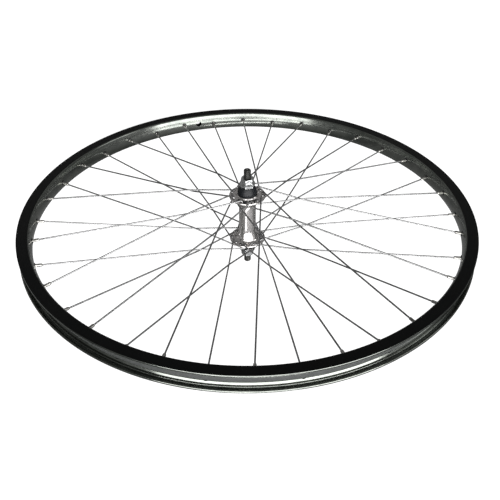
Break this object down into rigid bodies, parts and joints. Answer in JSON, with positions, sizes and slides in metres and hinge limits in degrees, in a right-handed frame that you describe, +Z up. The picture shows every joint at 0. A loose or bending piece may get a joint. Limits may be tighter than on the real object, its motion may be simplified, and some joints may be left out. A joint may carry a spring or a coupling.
{
  "type": "bicycle front wheel",
  "caption": "Spoked bicycle front wheel for a 26 inch tyre, without the tyre: black double-wall rim, crossed steel spokes and a polished hub on a solid nutted axle.",
  "frame": {"origin": "wheel centre: on the axle's axis, midway between the two hub flanges and between the rim's sidewalls", "axes": "+Y along the axle, towards the left side, the wheel spinning about it; +Z up, with the valve hole at the bottom, at -Z, and the rim seam at the top; +X forward"},
  "size_m": [0.572, 0.14, 0.572],
  "materials": {
    "rim_black": "black anodised, semi-gloss",
    "strip_plastic": "smooth dark grey plastic strip",
    "sleeve_alloy": "mill finish",
    "nipple_plate": "nickel plated brass, bright",
    "eyelet_black": "black, gloss",
    "spoke_steel": "drawn steel wire, satin",
    "hub_alloy": "polished",
    "axle_steel": "black oxide, threaded",
    "washer_steel": "zinc plated",
    "bearing_steel": "hardened and ground, oiled",
    "ball_steel": "mirror polished",
    "retainer_steel": "pressed steel strip",
    "dust_ring_steel": "plated pressing",
    "boot_rubber": "smooth black rubber, slight gloss",
    "nut_chrome": "chrome plated"
  },
  "bodies": {
    "axle": {"axle": "axle_steel", "lock_washers": "washer_steel", "bearing_cone_left": "bearing_steel", "dust_boot_left": "boot_rubber", "locknut_left": "nut_chrome", "axle_nut_left": "nut_chrome", "bearing_cone_right": "bearing_steel", "dust_boot_right": "boot_rubber", "locknut_right": "nut_chrome", "axle_nut_right": "nut_chrome"},
    "wheel": {"rim": "rim_black", "rim_strip": "strip_plastic", "rim_joint_sleeve": "sleeve_alloy", "spoke_nipples": "nipple_plate", "spoke_eyelets": "eyelet_black", "hub_shell": "hub_alloy", "spoke_01": "spoke_steel", "spoke_02": "spoke_steel", "spoke_03": "spoke_steel", "spoke_04": "spoke_steel", "spoke_05": "spoke_steel", "spoke_06": "spoke_steel", "spoke_07": "spoke_steel", "spoke_08": "spoke_steel", "spoke_09": "spoke_steel", "spoke_10": "spoke_steel", "spoke_11": "spoke_steel", "spoke_12": "spoke_steel", "spoke_13": "spoke_steel", "spoke_14": "spoke_steel", "spoke_15": "spoke_steel", "spoke_16": "spoke_steel", "spoke_17": "spoke_steel", "spoke_18": "spoke_steel", "spoke_19": "spoke_steel", "spoke_20": "spoke_steel", "spoke_21": "spoke_steel", "spoke_22": "spoke_steel", "spoke_23": "spoke_steel", "spoke_24": "spoke_steel", "spoke_25": "spoke_steel", "spoke_26": "spoke_steel", "spoke_27": "spoke_steel", "spoke_28": "spoke_steel", "spoke_29": "spoke_steel", "spoke_30": "spoke_steel", "spoke_31": "spoke_steel", "spoke_32": "spoke_steel", "spoke_33": "spoke_steel", "spoke_34": "spoke_steel", "spoke_35": "spoke_steel", "spoke_36": "spoke_steel", "bearing_cup_left": "bearing_steel", "dust_ring_left": "dust_ring_steel", "bearing_cup_right": "bearing_steel", "dust_ring_right": "dust_ring_steel"},
    "balls_left": {"bearing_balls_left": "ball_steel", "ball_retainer_left": "retainer_steel"},
    "balls_right": {"bearing_balls_right": "ball_steel", "ball_retainer_right": "retainer_steel"}
  },
  "joints": [
    {"name": "wheel_spin", "type": "hinge", "parent": "axle", "child": "wheel", "pos_m": [0, 0, 0], "axis": [0, 1, 0], "continuous": true},
    {"name": "balls_left_spin", "type": "hinge", "parent": "axle", "child": "balls_left", "pos_m": [0, 0.0312, 0], "axis": [0, 1, 0], "continuous": true},
    {"name": "balls_right_spin", "type": "hinge", "parent": "axle", "child": "balls_right", "pos_m": [0, -0.0312, 0], "axis": [0, 1, 0], "continuous": true}
  ],
  "couplings": [
    {"joint": "balls_left_spin", "follows": "wheel_spin", "ratio": 0.5946},
    {"joint": "balls_right_spin", "follows": "wheel_spin", "ratio": 0.5946}
  ]
}
